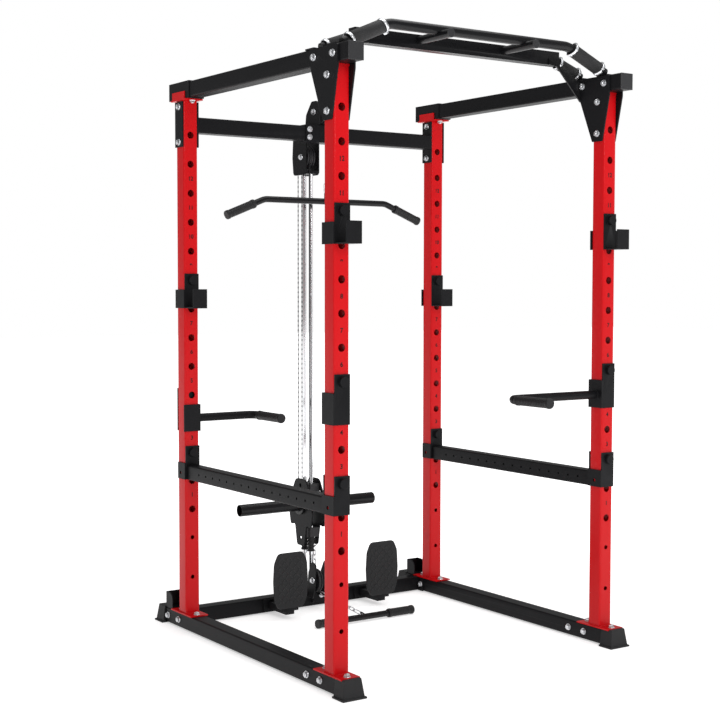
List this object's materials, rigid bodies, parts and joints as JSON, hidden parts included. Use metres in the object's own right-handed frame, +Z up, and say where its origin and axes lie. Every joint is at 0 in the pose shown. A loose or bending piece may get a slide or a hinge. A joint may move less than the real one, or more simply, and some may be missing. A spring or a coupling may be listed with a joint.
{
  "type": "power cage",
  "caption": "Four-post power cage with bar hooks, safety bars, dip handles, an angled pull-up bar and a rear plate-loaded cable tower with high and low pulleys.",
  "frame": {"origin": "on the floor, at the centre of the bounding box seen from above", "axes": "+X to the right as the cage is faced from its front, +Y to the rear where the cable tower stands, +Z up"},
  "size_m": [1.296, 1.492, 2.2455],
  "materials": {
    "red_paint": "gloss",
    "black_paint": "satin",
    "black_rubber": "matt",
    "black_plastic": "fine texture",
    "zinc": "zinc plated",
    "pin_steel": "satin",
    "chrome": "polished"
  },
  "bodies": {
    "frame": {"base_rail_left": "black_paint", "base_rail_right": "black_paint", "base_cross_member": "black_paint", "rubber_feet": "black_rubber", "rail_channel_brackets": "black_paint", "upright_front_left": "red_paint", "upright_front_right": "red_paint", "upright_rear_left": "red_paint", "upright_rear_right": "red_paint", "post_plates": "red_paint", "top_rail_left": "black_paint", "top_rail_right": "black_paint", "gusset_plates_left": "black_paint", "gusset_plates_right": "black_paint", "end_plugs": "black_plastic", "top_cross_member": "black_paint", "top_backing_plates": "black_paint", "pull_up_bar": "black_paint", "arm_rubber_sleeves": "black_rubber", "sleeve_clamps": "chrome", "frame_bolts": "zinc", "tower_clamp": "black_paint", "upper_pulley_housing": "black_paint", "lower_pulley_housing": "black_paint", "guide_rods": "chrome", "carriage_bumpers": "black_rubber", "low_pulley_bracket": "black_paint", "foot_plates": "black_plastic", "cable_runs": "zinc", "safety_bar_left": "black_paint", "safety_bar_right": "black_paint"},
    "carriage": {"carriage_plates": "black_paint", "guide_blocks": "black_plastic", "weight_sleeves": "black_paint", "carriage_chain": "zinc", "lift_cables": "zinc"},
    "lat_handle": {"lat_bar": "black_paint", "lat_bar_grips": "black_rubber", "lat_chain": "zinc", "lat_drop_cable": "zinc"},
    "row_handle": {"row_bar": "black_paint", "row_bar_grips": "black_rubber", "row_chain": "zinc"},
    "lat_pulley_front": {"lat_pulley_front": "black_plastic"},
    "lat_pulley_rear": {"lat_pulley_rear": "black_plastic"},
    "row_pulley_upper": {"row_pulley_upper": "black_plastic"},
    "row_pulley_lower": {"row_pulley_lower": "black_plastic"},
    "dip_right": {"dip_bracket_right": "black_paint", "dip_grip_right": "black_rubber"},
    "dip_left": {"dip_bracket_left": "black_paint", "dip_grip_left": "black_rubber"},
    "dip_spare": {"spare_dip_bracket": "black_paint"},
    "rack_hook_front_left": {"rack_hook_front_left": "black_paint"},
    "safety_pin_front_left": {"safety_pin_front_left": "pin_steel"},
    "rack_hook_front_right": {"rack_hook_front_right": "black_paint"},
    "safety_pin_front_right": {"safety_pin_front_right": "pin_steel"},
    "rack_hook_rear_left": {"rack_hook_rear_left": "black_paint"},
    "safety_pin_rear_left": {"safety_pin_rear_left": "pin_steel"},
    "rack_hook_rear_right": {"rack_hook_rear_right": "black_paint"},
    "safety_pin_rear_right": {"safety_pin_rear_right": "pin_steel"}
  },
  "joints": [
    {"name": "carriage_slide", "type": "slide", "parent": "frame", "child": "carriage", "axis": [0, 0, 1], "range_m": [0, 0.8], "deforming": ["lift_cables"]},
    {"name": "lat_pull", "type": "slide", "parent": "frame", "child": "lat_handle", "axis": [0, 0, -1], "range_m": [0, 0.8], "deforming": ["lat_drop_cable"]},
    {"name": "row_pull", "type": "slide", "parent": "frame", "child": "row_handle", "axis": [0, -1, 0], "range_m": [0, 0.6]},
    {"name": "lat_front_spin", "type": "hinge", "parent": "frame", "child": "lat_pulley_front", "pos_m": [0, 0.508, 2.066], "axis": [1, 0, 0], "range_deg": [0, 1010]},
    {"name": "lat_rear_spin", "type": "hinge", "parent": "frame", "child": "lat_pulley_rear", "pos_m": [0, 0.608, 1.89], "axis": [1, 0, 0], "range_deg": [0, 1010]},
    {"name": "row_upper_spin", "type": "hinge", "parent": "frame", "child": "row_pulley_upper", "pos_m": [-0.018, 0.608, 1.89], "axis": [1, 0, 0], "range_deg": [0, 758]},
    {"name": "row_lower_spin", "type": "hinge", "parent": "frame", "child": "row_pulley_lower", "pos_m": [-0.018, 0.517, 0.128], "axis": [-1, 0, 0], "range_deg": [0, 758]},
    {"name": "hook_swing_front_left", "type": "hinge", "parent": "frame", "child": "rack_hook_front_left", "pos_m": [-0.6, -0.527, 1.601], "axis": [0, 1, 0], "range_deg": [0, 90]},
    {"name": "hook_swing_front_right", "type": "hinge", "parent": "frame", "child": "rack_hook_front_right", "pos_m": [0.6, -0.527, 1.601], "axis": [0, -1, 0], "range_deg": [0, 90]},
    {"name": "hook_swing_rear_left", "type": "hinge", "parent": "frame", "child": "rack_hook_rear_left", "pos_m": [-0.6, 0.533, 1.377], "axis": [0, 1, 0], "range_deg": [0, 90]},
    {"name": "hook_swing_rear_right", "type": "hinge", "parent": "frame", "child": "rack_hook_rear_right", "pos_m": [0.6, 0.533, 1.377], "axis": [0, -1, 0], "range_deg": [0, 90]},
    {"name": "pin_pull_front_left", "type": "slide", "parent": "frame", "child": "safety_pin_front_left", "axis": [0, -1, 0], "range_m": [0, 0.08]},
    {"name": "pin_pull_front_right", "type": "slide", "parent": "frame", "child": "safety_pin_front_right", "axis": [0, -1, 0], "range_m": [0, 0.08]},
    {"name": "pin_pull_rear_left", "type": "slide", "parent": "frame", "child": "safety_pin_rear_left", "axis": [0, -1, 0], "range_m": [0, 0.08]},
    {"name": "pin_pull_rear_right", "type": "slide", "parent": "frame", "child": "safety_pin_rear_right", "axis": [0, -1, 0], "range_m": [0, 0.08]},
    {"name": "dip_swing_right", "type": "hinge", "parent": "frame", "child": "dip_right", "pos_m": [0.6, -0.527, 1.041], "axis": [0, 1, 0], "range_deg": [0, 90]},
    {"name": "dip_swing_left", "type": "hinge", "parent": "frame", "child": "dip_left", "pos_m": [-0.6, 0.533, 0.929], "axis": [0, -1, 0], "range_deg": [0, 90]},
    {"name": "dip_swing_spare", "type": "hinge", "parent": "frame", "child": "dip_spare", "pos_m": [-0.6, -0.527, 1.041], "axis": [0, 1, 0], "range_deg": [0, 90]}
  ],
  "couplings": [
    {"joint": "lat_pull", "follows": "carriage_slide", "ratio": 1},
    {"joint": "lat_front_spin", "follows": "carriage_slide", "rad_per_m": 21.978},
    {"joint": "lat_rear_spin", "follows": "carriage_slide", "rad_per_m": 21.978},
    {"joint": "row_upper_spin", "follows": "row_pull", "rad_per_m": 21.978},
    {"joint": "row_lower_spin", "follows": "row_pull", "rad_per_m": 21.978}
  ]
}
